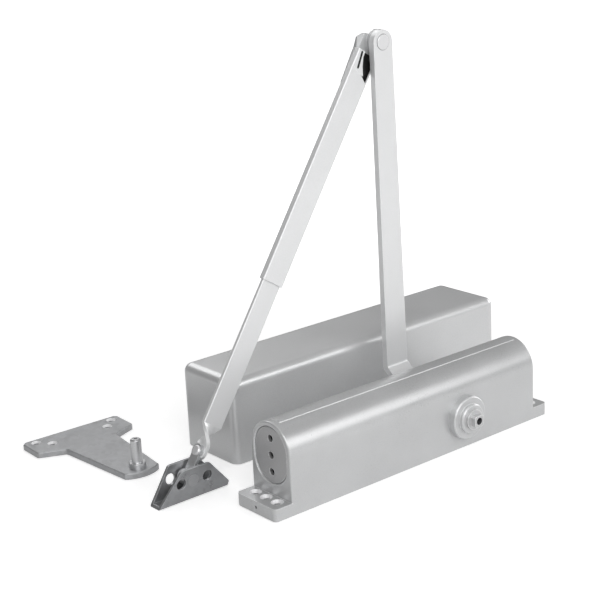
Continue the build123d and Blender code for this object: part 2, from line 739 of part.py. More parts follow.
def swivel():
    """Swivel link: a flat ear riveted to the bar, running down to a hub between the shoe's flanges."""
    pivot = Location((-ear_centre, 0, -forearm_length))
    hub = rod(swivel_hub_radius, bar_centre_y - swivel_hub_half, bar_centre_y + swivel_hub_half, "Y").moved(pivot)
    outline = Polyline((-swivel_hub_half, -swivel_rivet_s), (-swivel_hub_half, -forearm_length),
                       (swivel_hub_half, -forearm_length), (swivel_hub_half, -swivel_rivet_s), close=True)
    ear = make_face(outline) + Pos(0, -swivel_rivet_s) * Circle(ear_radius)
    ear_x = -ear_centre - ear_thickness / 2
    ear = Pos(ear_x, bar_centre_y, 0) * extrude(Plane.YZ * ear, ear_thickness)
    solid = hub + ear
    solid -= rod(shoe_rivet_radius + running, bar_centre_y - shoe_gap, bar_centre_y + shoe_gap, "Y").moved(pivot)
    rivet_hole = rod(swivel_rivet_radius + running, ear_x - 1, ear_x + ear_thickness + 1, "X")
    solid -= rivet_hole.moved(Location((0, bar_centre_y, -swivel_rivet_s)))
    return in_forearm(solid)


def swivel_rivet():
    """Rivet fixed in the bar's end, on which the swivel tilts."""
    face = bar_thickness / 2
    outer = -face - ear_thickness - 2 * running
    shank = rod(swivel_rivet_radius, outer - 0.2, face + 0.2, "X")
    head = rod(swivel_head_radius, outer - swivel_head, outer, "X")
    head = chamfer(head.edges().filter_by(GeomType.CIRCLE).sort_by(Axis.X)[0], swivel_head / 2)
    tail = rod(swivel_head_radius, face, face + swivel_head, "X")
    tail = chamfer(tail.edges().filter_by(GeomType.CIRCLE).sort_by(Axis.X)[-1], swivel_head / 2)
    return in_forearm((shank + head + tail).moved(Location((0, bar_centre_y, -swivel_rivet_s))))


def shoe_pivot():
    """Where the shoe's rivet stands at rest."""
    turn = math.radians(pivot_turn)
    return (elbow_x - pivot_span * math.sin(turn), bar_centre_y, elbow_z - pivot_span * math.cos(turn))


def shoe():
    """Pressed channel with a web on the frame and two trapezoid flanges that lean a little outwards."""
    outline = Polyline((-shoe_bottom_left, 0), (-shoe_top_left, shoe_height), (shoe_top_right, shoe_height),
                       (shoe_bottom_right + 1.5, shoe_toe_height), (shoe_bottom_right, 0), close=True)
    side = make_face(outline)
    high = [v for v in side.vertices() if v.Y > 1]
    side = fillet(high, shoe_corner)
    reach = shoe_half_width + shoe_splay
    side_view = extrude(Plane.XZ.offset(-reach) * side, 2 * reach)
    section = make_face(Polyline((-shoe_half_width, 0), (shoe_half_width, 0), (reach, shoe_height),
                                 (-reach, shoe_height), close=True))
    section = fillet([v for v in section.vertices() if v.Y < 1], shoe_bend)
    rise = (shoe_height - shoe_sheet + 1) / (shoe_height - shoe_sheet)
    trough = shoe_gap / 2 + shoe_splay * rise
    section -= make_face(Polyline((-shoe_gap / 2, shoe_sheet), (shoe_gap / 2, shoe_sheet),
                                  (trough, shoe_height + 1), (-trough, shoe_height + 1), close=True))
    solid = side_view & extrude(Plane.YZ.offset(-2 * shoe_bottom_right) * section, 4 * shoe_bottom_right)
    for x in (-flange_hole_left, flange_hole_right):
        solid -= rod(flange_hole_radius, -reach - 1, reach + 1, "Y").moved(Location((x, 0, shoe_pivot_height)))
    solid -= rod(shoe_rivet_radius + seated, -reach - 1, reach + 1, "Y").moved(Location((0, 0, shoe_pivot_height)))
    for side_x in (-1, 1):
        solid -= Pos(side_x * web_screw_offset, 0, 0) * rod(web_screw_radius, -1, shoe_sheet + 1)
    x, y, z = shoe_pivot()
    return Pos(x, y, z - shoe_pivot_height) * solid


def shoe_rivet():
    """Rivet fixed in the shoe's flanges, on which the swivel's hub turns; its heads lie flat on the flanges."""
    rivet = rod(shoe_rivet_radius, -shoe_pivot_half_width, shoe_pivot_half_width, "Y")
    for side in (-1, 1):
        low, high = sorted((0, side * shoe_rivet_head))
        head = Rot(-side * shoe_lean, 0, 0) * rod(shoe_rivet_head_radius, low, high, "Y")
        rivet += Pos(0, side * shoe_pivot_half_width, 0) * head
    return Pos(*shoe_pivot()) * rivet


def cover():
    """Drawn sheet cover, open towards the door, slotted on its far side for the pinion's gland."""
    outer = Box(cover_length, cover_width, 2 * cover_height)
    outer = fillet(outer.edges().filter_by(Axis.Z), cover_corner)
    outer = fillet(outer.faces().sort_by(Axis.Z)[-1].edges(), cover_corner)
    inner = Box(cover_length - 2 * cover_sheet, cover_width - 2 * cover_sheet, 2 * (cover_height - cover_sheet))
    inner = fillet(inner.edges().filter_by(Axis.Z), cover_corner - cover_sheet)
    inner = fillet(inner.faces().sort_by(Axis.Z)[-1].edges(), cover_corner - cover_sheet)
    shell = outer - inner
    shell -= Pos(0, 0, -cover_height) * Box(2 * cover_length, 2 * cover_width, 2 * cover_height)
    slot_radius = gland_flange_radius + cover_slot_gap
    slot = Pos(0, cover_width / 2, pinion_height / 2 - 0.5) * Box(2 * slot_radius, cover_width / 2,
                                                                  pinion_height + 1)
    slot += rod(slot_radius, cover_width / 4, 3 * cover_width / 4, "Y").moved(Location((0, 0, pinion_height)))
    shell -= Pos(pinion_x, 0, 0) * slot
    return Pos(cover_centre_x, cover_centre_y, 0) * shell


def on_bracket(shape):
    """Place a shape made about the stud's axis."""
    return Pos(bracket_x, bracket_y, 0) * (Rot(0, 0, bracket_turn) * shape)


def bracket_plate():
    """Spreading plate that carries the stud, with two pairs of countersunk holes in its bar."""
    def half(sign):
        return [(sign * toe_half_width, toe_v), (sign * neck_half_width, neck_v),
                (sign * bar_half_length, bar_near_at_tip), (sign * bar_half_length, bar_far - 3),
                (sign * (bar_half_length - 3), bar_far)]
    right = half(1)
    left = half(-1)
    outline = Polyline(*(right + left[::-1])) + ThreePointArc(left[0], (0, toe_v - toe_bulge), right[0])
    face = make_face(outline)
    plate = extrude(face, plate_thickness)
    necks = [e for e in plate.edges().filter_by(Axis.Z)
             if abs(abs(e.center().X) - neck_half_width) < 0.1 or abs(e.center().Y - bar_near_at_tip) < 0.1]
    plate = fillet(necks, plate_corner)
    plate = chamfer(plate.faces().sort_by(Axis.Z)[-1].edges(), plate_edge)
    for u, v in ((outer_hole_u, outer_hole_v), (inner_hole_u, inner_hole_v)):
        for sign in (-1, 1):
            hole = rod(bracket_hole_radius, -1, plate_thickness + 1)
            hole += Pos(0, 0, plate_thickness - 0.8) * Cone(bracket_hole_radius, bracket_sink_radius, 1.6)
            plate -= Pos(sign * u, v, 0) * hole
    plate -= rod(stud_radius - 1, -1, plate_thickness + 1)
    return on_bracket(plate)


def bracket_stud():
    """Shouldered pivot stud riveted into the plate."""
    stud = rod(stud_radius - 1 - seated, 0.3, plate_thickness + 1)
    collar = rod(stud_collar_radius, plate_thickness, plate_thickness + stud_collar)
    collar = chamfer(collar.edges().filter_by(GeomType.CIRCLE).sort_by(Axis.Z)[-1], 0.6)
    top = plate_thickness + stud_height
    pin = rod(stud_radius, plate_thickness + stud_collar, top)
    pin = chamfer(pin.edges().filter_by(GeomType.CIRCLE).sort_by(Axis.Z)[-1], stud_tip)
    pin -= rod(stud_centre_radius, top - 2.5, top + 1)
    return on_bracket(stud + collar + pin)


def build_all():
    """Every node of the closer with its solid."""
    parts = {
        "closer_body": closer_body(),
        "spring_end_plate": spring_end_plate(),
        "spring_end_plug": spring_end_plug(),
        "spring_plug_seal": seal_ring(0, bore_radius, plug_inner_x - 2 * ring_radius, "X"),
        "spring_adjust_screw": spring_adjust_screw(),
        "spring_seat": spring_seat(),
        "main_spring": main_spring(),
        "piston_rack": piston_rack(),
        "check_ball": check_ball(),
        "hydraulic_end_plug": hydraulic_end_plug(),
        "hydraulic_plug_seal": seal_ring(0, bore_radius, housing_end - hydraulic_plug_length + 2 * ring_radius, "X"),
        "sweep_valve": valve(-1),
        "latch_valve": valve(1),
        "pinion_shaft": pinion_shaft(),
        "main_arm": main_arm(),
        "arm_washer": arm_washer(),
        "arm_screw": arm_screw(),
        "elbow_rivet": elbow_rivet(),
        "elbow_washer": elbow_washer(),
        "forearm_knuckle": forearm_knuckle(),
        "forearm_channel": forearm_channel(),
        "forearm_clamp_screw": clamp_screw(),
        "forearm_bar": forearm_bar(),
        "swivel_rivet": swivel_rivet(),
        "swivel": swivel(),
        "shoe": shoe(),
        "shoe_rivet": shoe_rivet(),
        "cover": cover(),
        "bracket_plate": bracket_plate(),
        "bracket_stud": bracket_stud(),
    }
    for name, side in (("near", -1), ("far", 1)):
        parts["gland_nut_" + name] = gland_nut(side)
        parts["pinion_bearing_" + name] = pinion_bearing(side)
        parts["pinion_seal_" + name] = pinion_seal(side)
    return parts


os.makedirs("parts", exist_ok=True)
for node, shape in build_all().items():
    export_step(shape, f"parts/{node}.step")
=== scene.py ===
import json
import logging
import math
from dataclasses import dataclass
from enum import Enum
from typing import ClassVar

import bmesh
import bpy
from mathutils import Matrix, Vector


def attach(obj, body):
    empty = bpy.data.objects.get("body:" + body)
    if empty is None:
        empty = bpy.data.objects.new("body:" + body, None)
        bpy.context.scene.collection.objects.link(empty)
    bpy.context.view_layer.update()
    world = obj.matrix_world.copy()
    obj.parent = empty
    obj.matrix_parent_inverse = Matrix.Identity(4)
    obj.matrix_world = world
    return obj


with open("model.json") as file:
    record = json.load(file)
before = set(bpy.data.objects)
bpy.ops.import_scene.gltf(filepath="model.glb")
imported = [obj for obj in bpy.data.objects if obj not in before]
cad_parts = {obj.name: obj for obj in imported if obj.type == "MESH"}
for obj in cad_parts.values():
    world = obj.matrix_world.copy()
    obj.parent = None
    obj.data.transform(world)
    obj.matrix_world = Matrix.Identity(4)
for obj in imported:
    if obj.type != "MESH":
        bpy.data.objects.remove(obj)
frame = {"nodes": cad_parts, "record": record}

log = logging.getLogger("door_closer")
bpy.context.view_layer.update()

Triple = tuple[float, float, float]
Socket = bpy.types.NodeSocket
Shape = tuple[list[Vector], list[tuple[int, ...]]]

COLOR = "NodeSocketColor"
FLOAT = "NodeSocketFloat"
VECTOR = "NodeSocketVector"

ALONG_X: Triple = (1.0, 0.0, 0.0)
ALONG_Y: Triple = (0.0, 1.0, 0.0)
ALONG_Z: Triple = (0.0, 0.0, 1.0)
PINION_CENTRE: Triple = (0.0541, 0.0, 0.0295)
BORE_CENTRE: Triple = (0.0, 0.0, 0.0461)
STUD_CENTRE: Triple = (-0.1846, 0.1416, 0.0)


class Pattern(Enum):
    """Surface pattern that a finish carries on top of its grain."""

    PLAIN = "plain"
    TURNED = "turned"
    SPANGLE = "spangle"


@dataclass(frozen=True)
class Finish:
    """How one material slot, or one shade of it, looks.

    Args:
        color: base colour, linear.
        metallic: share of metal in the surface.
        roughness: mean roughness.
        grain_scale: noise cells per metre.
        color_spread: relative colour change over the grain.
        rough_spread: roughness change over the grain.
        bump: height of the grain in metres.
        edge: radius of the softened edges in metres.
        coat: clear coat weight.
        edge_highlight_gain: how much lighter the edges are painted, as a painted edge highlight.
        shade: darkness of the painted shade inside the forearm's tube.
        pattern: extra pattern.
        pattern_centre: point of the turning axis for TURNED.
        pattern_axis: direction of the turning axis.
    """

    color: Triple
    metallic: float = 0.8
    roughness: float = 0.35
    grain_scale: float = 900.0
    color_spread: float = 0.06
    rough_spread: float = 0.08
    bump: float = 0.00002
    edge: float = 0.0004
    coat: float = 0.0
    edge_highlight_gain: float = 0.25
    shade: float = 0.0
    pattern: Pattern = Pattern.PLAIN
    pattern_centre: Triple = PINION_CENTRE
    pattern_axis: Triple = ALONG_Y


FINISHES: dict[str, Finish] = {
    "body_paint": Finish(
        (0.60, 0.605, 0.61), metallic=0.55, roughness=0.34, grain_scale=2200.0, color_spread=0.22,
        rough_spread=0.14, bump=0.00003, edge=0.0008, coat=0.15, edge_highlight_gain=0.5),
    "cover_paint": Finish(
        (0.70, 0.705, 0.71), metallic=0.55, roughness=0.36, grain_scale=2400.0, color_spread=0.14,
        rough_spread=0.12, edge=0.0008, coat=0.2, edge_highlight_gain=0.3),
    # The forearm's paint, with painted shade inside its tube.
    "arm_paint": Finish(
        (0.80, 0.805, 0.81), metallic=0.4, roughness=0.36, grain_scale=2400.0, color_spread=0.10,
        rough_spread=0.10, edge=0.0005, coat=0.1, edge_highlight_gain=0.4, shade=1.0),
    "bar_paint": Finish(
        (0.80, 0.805, 0.81), metallic=0.4, roughness=0.36, grain_scale=2400.0, color_spread=0.10,
        rough_spread=0.10, edge=0.0005, coat=0.1, edge_highlight_gain=0.4),
    "plate_steel": Finish(
        (0.51, 0.51, 0.515), metallic=0.7, roughness=0.42, grain_scale=1800.0, color_spread=0.14,
        rough_spread=0.12, bump=0.00001, edge=0.0008, edge_highlight_gain=0.9, pattern=Pattern.TURNED,
        pattern_centre=BORE_CENTRE, pattern_axis=ALONG_X),
    # Near black: painted shade, the darkness in the spring end plug's spanner holes.
    "plug_steel": Finish(
        (0.035, 0.035, 0.036), metallic=0.6, roughness=0.4, pattern=Pattern.TURNED,
        pattern_centre=BORE_CENTRE, pattern_axis=ALONG_X),
    "plug_face": Finish(
        (0.46, 0.46, 0.465), metallic=0.7, roughness=0.42, pattern=Pattern.TURNED,
        pattern_centre=BORE_CENTRE, pattern_axis=ALONG_X),
    "gland_steel": Finish(
        (0.62, 0.625, 0.63), metallic=0.6, roughness=0.42, grain_scale=1500.0, bump=0.00001, edge=0.0007,
        edge_highlight_gain=0.6, pattern=Pattern.TURNED),
    "pinion_steel": Finish(
        (0.62, 0.62, 0.625), metallic=0.7, roughness=0.38, grain_scale=1500.0, bump=0.00001, edge=0.0006,
        edge_highlight_gain=0.7, pattern=Pattern.TURNED),
    "ground_steel": Finish(
        (0.62, 0.62, 0.63), metallic=0.95, roughness=0.22, pattern=Pattern.TURNED,
        pattern_centre=BORE_CENTRE, pattern_axis=ALONG_X),
    "bearing_steel": Finish((0.55, 0.55, 0.57), metallic=0.95, roughness=0.25, pattern=Pattern.TURNED),
    "spring_steel": Finish((0.22, 0.22, 0.235), metallic=0.9, roughness=0.38, bump=0.00001),
    "dark_steel": Finish((0.08, 0.08, 0.085), roughness=0.4, bump=0.00001),
    "rivet_steel": Finish(
        (0.84, 0.84, 0.85), metallic=0.6, roughness=0.36, grain_scale=1800.0, color_spread=0.05,
        bump=0.00001),
    "swivel_steel": Finish(
        (0.66, 0.665, 0.675), metallic=0.85, roughness=0.36, grain_scale=1400.0, color_spread=0.08,
        rough_spread=0.1),
    "zinc_steel": Finish(
        (0.56, 0.565, 0.575), metallic=0.85, roughness=0.36, grain_scale=1400.0, color_spread=0.08,
        rough_spread=0.1, bump=0.00001, edge=0.0003),
    "shoe_zinc": Finish(
        (0.35, 0.355, 0.365), roughness=0.38, grain_scale=700.0, color_spread=0.10, rough_spread=0.12,
        edge=0.0006, edge_highlight_gain=0.5, pattern=Pattern.SPANGLE),
    "bracket_zinc": Finish(
        (0.45, 0.455, 0.465), metallic=0.75, roughness=0.42, grain_scale=1100.0, color_spread=0.08,
        rough_spread=0.12, bump=0.00003, edge=0.0006, edge_highlight_gain=0.3, pattern=Pattern.SPANGLE),
    "stud_steel": Finish(
        (0.68, 0.685, 0.695), metallic=0.9, roughness=0.32, grain_scale=1500.0, bump=0.00001, edge_highlight_gain=0.5,
        pattern=Pattern.TURNED, pattern_centre=STUD_CENTRE, pattern_axis=ALONG_Z),
    "valve_brass": Finish(
        (0.62, 0.45, 0.2), metallic=0.95, roughness=0.3, grain_scale=1500.0, color_spread=0.05, bump=0.00001,
        edge=0.0003),
    "seal_rubber": Finish(
        (0.02, 0.02, 0.021), metallic=0.0, roughness=0.6, grain_scale=1500.0, color_spread=0.2,
        rough_spread=0.1, edge=0.0002),
    "bare_cut": Finish(
        (0.95, 0.95, 0.96), metallic=0.3, roughness=0.3, grain_scale=1500.0, color_spread=0.04,
        rough_spread=0.06, bump=0.000008, edge=0.0002, edge_highlight_gain=0.2),
    # Painted shade: a darker copy of the arm's paint for the knuckle, which lies in the arm's shadow; it also
    # takes the painted shade inside the tube.
    "knuckle_painted_shade": Finish(
        (0.50, 0.505, 0.51), metallic=0.4, roughness=0.38, grain_scale=2400.0, color_spread=0.14,
        rough_spread=0.10, bump=0.00003, edge=0.0006, coat=0.1, edge_highlight_gain=0.5, shade=1.0),
    "rivet_zinc": Finish(
        (0.40, 0.405, 0.415), roughness=0.38, color_spread=0.10, rough_spread=0.12, edge_highlight_gain=0.4),
    # Painted shade for the ring round the elbow rivet's head.
    "seam_painted_shade": Finish((0.16, 0.16, 0.165), metallic=0.0, roughness=0.7, bump=0.00001, edge_highlight_gain=0.0),
    # Painted shade: near black, for the slot in the channel's lip.
    "slot_painted_shade": Finish((0.012, 0.012, 0.013), metallic=0.0, roughness=0.7, bump=0.00001, edge_highlight_gain=0.0),
}


def body_joint(body: str) -> dict:
    """Look up the joint that carries a body.

    Args:
        body: the body's name in the record.

    Returns:
        The joint's entry in the record.
    """
    return next(j for j in frame["record"]["behaviour"]["joints"] if j["child"] == body)


@dataclass(frozen=True)
class ForearmFrame:
    """The forearm's own frame: across it, along it towards the elbow, and its zero.

    Args:
        pivot: the elbow's centre.
        along: unit vector from the shoe towards the elbow.
        offset: how far the pivot stands off the forearm's middle.
    """

    pivot: Vector
    along: Vector
    offset: float = 0.0046

    @classmethod
    def from_record(cls) -> "ForearmFrame":
        """Take the frame from the record's elbow and sliding joints."""
        towards = Vector(body_joint("forearm_end")["axis"]).normalized()
        if towards.z < 0.0:
            towards = -towards
        return cls(Vector(body_joint("forearm")["pos_m"]), towards)

    @property
    def across(self) -> Vector:
        """Unit vector across the forearm, towards the arm's side."""
        return Vector((self.along.z, 0.0, -self.along.x))

    def point(self, across: float, depth: float, along: float) -> Vector:
        """Turn forearm coordinates into world ones.

        Args:
            across: across the forearm from its middle.
            depth: the world's y.
            along: along the forearm, up to the elbow at zero.

        Returns:
            The point in the world.
        """
        flat = Vector((self.pivot.x, 0.0, self.pivot.z))
        return flat + self.across * (across - self.offset) + self.along * along + Vector((0.0, depth, 0.0))


class NodeKit:
    """Small helper that adds and joins shader nodes in one tree.

    Args:
        tree: the tree that it works in.
    """

    def __init__(self, tree: bpy.types.NodeTree) -> None:
        self.tree = tree

    def add(self, kind: str, **values: object) -> bpy.types.Node:
        """Add a node.

        Args:
            kind: Blender's node type name.
            **values: attributes to set on it.

        Returns:
            The new node.
        """
        node = self.tree.nodes.new(kind)
        for name, value in values.items():
            setattr(node, name, value)
        return node

    def join(self, source: Socket, target: Socket) -> None:
        """Link two sockets.

        Args:
            source: output socket.
            target: input socket.
        """
        self.tree.links.new(source, target)

    def feed(self, value: object, target: Socket) -> None:
        """Link a socket to an input, or set the input to a constant.

        Args:
            value: output socket, number or triple.
            target: input socket.
        """
        if isinstance(value, bpy.types.NodeSocket):
            self.join(value, target)
        else:
            target.default_value = value

    def maths(self, operation: str, first: object, second: object) -> Socket:
        """Add a math node.

        Args:
            operation: Blender's operation name.
            first: socket or number.
            second: socket or number.

        Returns:
            The node's output socket.
        """
        node = self.add("ShaderNodeMath", operation=operation)
        self.feed(first, node.inputs[0])
        self.feed(second, node.inputs[1])
        return node.outputs[0]

    def vector(self, operation: str, first: object, second: object) -> bpy.types.Node:
        """Add a vector math node.

        Args:
            operation: Blender's operation name.
            first: socket or triple.
            second: socket or triple.

        Returns:
            The new node, because some operations put out a vector and some a value.
        """
        node = self.add("ShaderNodeVectorMath", operation=operation)
        self.feed(first, node.inputs[0])
        self.feed(second, node.inputs[1])
        return node

    def scaled(self, color: Socket, gain: object) -> Socket:
        """Multiply a colour or vector by a value.

        Args:
            color: the colour or vector socket.
            gain: socket or number.

        Returns:
            The product's socket.
        """
        node = self.add("ShaderNodeVectorMath", operation="SCALE")
        self.feed(color, node.inputs[0])
        self.feed(gain, node.inputs["Scale"])
        return node.outputs[0]

    def split(self, vector: Socket) -> bpy.types.Node:
        """Take a vector apart.

        Args:
            vector: the vector socket.

        Returns:
            The node with the three values.
        """
        node = self.add("ShaderNodeSeparateXYZ")
        self.join(vector, node.inputs[0])
        return node

    def place(self) -> Socket:
        """Add the object's own coordinates."""
        return self.add("ShaderNodeTexCoord").outputs["Object"]

    def noise(self, place: Socket, scale: object, detail: float = 2.0) -> bpy.types.Node:
        """Add a noise texture.

        Args:
            place: coordinates.
            scale: socket or number.
            detail: levels of finer noise.

        Returns:
            The new node.
        """
        node = self.add("ShaderNodeTexNoise")
        node.inputs["Detail"].default_value = detail
        self.join(place, node.inputs["Vector"])
        self.feed(scale, node.inputs["Scale"])
        return node

    def group(self, tree: bpy.types.NodeTree, **inputs: object) -> bpy.types.Node:
        """Add a shared group.

        Args:
            tree: the shared group.
            **inputs: value of each input, with _ for a space in its name.

        Returns:
            The new node.
        """
        node = self.add("ShaderNodeGroup", node_tree=tree)
        for label, value in inputs.items():
            node.inputs[label.replace("_", " ")].default_value = value
        return node


def open_group(name: str, inputs: list[tuple[str, str, object]], outputs: list[tuple[str, str]]
               ) -> tuple[bpy.types.NodeTree, NodeKit, bpy.types.Node, bpy.types.Node]:
    """Make an empty shader node group with its sockets.

    Args:
        name: the group's name.
        inputs: name, socket type and default of each input.
        outputs: name and socket type of each output.

    Returns:
        The group, its node kit, its input node and its output node.
    """
    group = bpy.data.node_groups.new(name, "ShaderNodeTree")
    for label, kind, default in inputs:
        socket = group.interface.new_socket(label, in_out="INPUT", socket_type=kind)
        if default is not None:
            socket.default_value = default
    for label, kind in outputs:
        group.interface.new_socket(label, in_out="OUTPUT", socket_type=kind)
    kit = NodeKit(group)
    return group, kit, kit.add("NodeGroupInput"), kit.add("NodeGroupOutput")


class Effects:
    """The shared shader groups: grain, turning marks, zinc spangle, a painted edge highlight and the painted
    shade inside the forearm.
    """

    CLOUD_SCALE: ClassVar[float] = 22.0
    SPECK_GAIN: ClassVar[float] = 2.2
    CLOUD_GAIN: ClassVar[float] = 0.7
    WARP_SCALE: ClassVar[float] = 160.0
    WARP_SIZE: ClassVar[float] = 0.006
    EDGE_SHARPNESS: ClassVar[float] = 6.0

    def __init__(self) -> None:
        self.grain = self._grain()
        self.turned = self._turned()
        self.spangle = self._spangle()
        self.edges = self._edges()
        self.inside = self._inside()

    def _grain(self) -> bpy.types.NodeTree:
        """Fine flake and slight unevenness: outputs a colour, a roughness and a height."""
        group, kit, given, made = open_group(
            "surface_grain",
            [("Color", COLOR, (0.5, 0.5, 0.5, 1.0)), ("Scale", FLOAT, 1000.0), ("Color Spread", FLOAT, 0.1),
             ("Roughness", FLOAT, 0.35), ("Rough Spread", FLOAT, 0.1)],
            [("Color", COLOR), ("Roughness", FLOAT), ("Height", FLOAT)])
        place = kit.place()
        fine = kit.noise(place, given.outputs["Scale"], 3.0)
        broad = kit.noise(place, self.CLOUD_SCALE, 4.0)
        speck = kit.maths("SUBTRACT", fine.outputs["Fac"], 0.5)
        cloud = kit.maths("SUBTRACT", broad.outputs["Fac"], 0.5)
        blend = kit.maths("ADD", kit.maths("MULTIPLY", speck, self.SPECK_GAIN),
                          kit.maths("MULTIPLY", cloud, self.CLOUD_GAIN))
        gain = kit.maths("ADD", kit.maths("MULTIPLY", blend, given.outputs["Color Spread"]), 1.0)
        rough = kit.maths("ADD", given.outputs["Roughness"],
                          kit.maths("MULTIPLY", blend, given.outputs["Rough Spread"]))
        kit.join(kit.scaled(given.outputs["Color"], gain), made.inputs["Color"])
        kit.join(rough, made.inputs["Roughness"])
        kit.join(fine.outputs["Fac"], made.inputs["Height"])
        return group

    def _turned(self) -> bpy.types.NodeTree:
        """Lathe marks: noise that changes only with the distance from an axis and along it."""
        group, kit, given, made = open_group(
            "turning_marks",
            [("Centre", VECTOR, None), ("Axis", VECTOR, None), ("Pitch", FLOAT, 5200.0)],
            [("Mask", FLOAT)])
        axis = given.outputs["Axis"]
        away = kit.vector("SUBTRACT", kit.place(), given.outputs["Centre"]).outputs[0]
        across = kit.vector("CROSS_PRODUCT", away, axis).outputs[0]
        radius = kit.add("ShaderNodeVectorMath", operation="LENGTH")
        kit.join(across, radius.inputs[0])
        pair = kit.add("ShaderNodeCombineXYZ")
        kit.join(kit.vector("DOT_PRODUCT", away, axis).outputs["Value"], pair.inputs[0])
        kit.join(radius.outputs["Value"], pair.inputs[1])
        marks = kit.noise(pair.outputs[0], given.outputs["Pitch"])
        kit.join(marks.outputs["Fac"], made.inputs["Mask"])
        return group

    def _spangle(self) -> bpy.types.NodeTree:
        """Zinc crystals: soft cells of slightly different brightness."""
        group, kit, given, made = open_group("zinc_spangle", [("Scale", FLOAT, 240.0)], [("Mask", FLOAT)])
        place = kit.place()
        warp = kit.noise(place, self.WARP_SCALE)
        shift = kit.scaled(warp.outputs["Color"], self.WARP_SIZE)
        cells = kit.add("ShaderNodeTexVoronoi")
        kit.join(kit.vector("ADD", place, shift).outputs[0], cells.inputs["Vector"])
        kit.join(given.outputs["Scale"], cells.inputs["Scale"])
        grey = kit.add("ShaderNodeRGBToBW")
        kit.join(cells.outputs["Color"], grey.inputs[0])
        kit.join(grey.outputs[0], made.inputs["Mask"])
        return group

    def _edges(self) -> bpy.types.NodeTree:
        """Painted edge highlight mask: where a rounded edge would turn away from the flat face."""
        group, kit, given, made = open_group("painted_edge_highlight", [("Radius", FLOAT, 0.0006)], [("Mask", FLOAT)])
        face = kit.add("ShaderNodeNewGeometry")
        round_edge = kit.add("ShaderNodeBevel", samples=6)
        kit.join(given.outputs["Radius"], round_edge.inputs["Radius"])
        lean = kit.vector("DOT_PRODUCT", round_edge.outputs["Normal"], face.outputs["Normal"])
        turned = kit.maths("SUBTRACT", 1.0, lean.outputs["Value"])
        sharp = kit.maths("MULTIPLY", turned, self.EDGE_SHARPNESS)
        kit.join(kit.maths("MINIMUM", sharp, 1.0), made.inputs["Mask"])
        return group

    def _inside(self) -> bpy.types.NodeTree:
        """Painted shade inside the forearm's tube: a box mask in the forearm's own frame."""
        group, kit, given, made = open_group(
            "forearm_painted_shade",
            [(label, VECTOR, None) for label in ("Pivot", "Across", "Along", "Lower", "Upper")],
            [("Mask", FLOAT)])
        away = kit.vector("SUBTRACT", kit.place(), given.outputs["Pivot"]).outputs[0]
        across = kit.vector("DOT_PRODUCT", away, given.outputs["Across"]).outputs["Value"]
        along = kit.vector("DOT_PRODUCT", away, given.outputs["Along"]).outputs["Value"]
        depth = kit.split(away).outputs[1]
        lower = kit.split(given.outputs["Lower"])
        upper = kit.split(given.outputs["Upper"])
        total: object = 1.0
        for index, value in enumerate((across, depth, along)):
            over = kit.maths("GREATER_THAN", value, lower.outputs[index])
            under = kit.maths("LESS_THAN", value, upper.outputs[index])
            total = kit.maths("MULTIPLY", total, kit.maths("MULTIPLY", over, under))
        kit.join(total, made.inputs["Mask"])
        return group


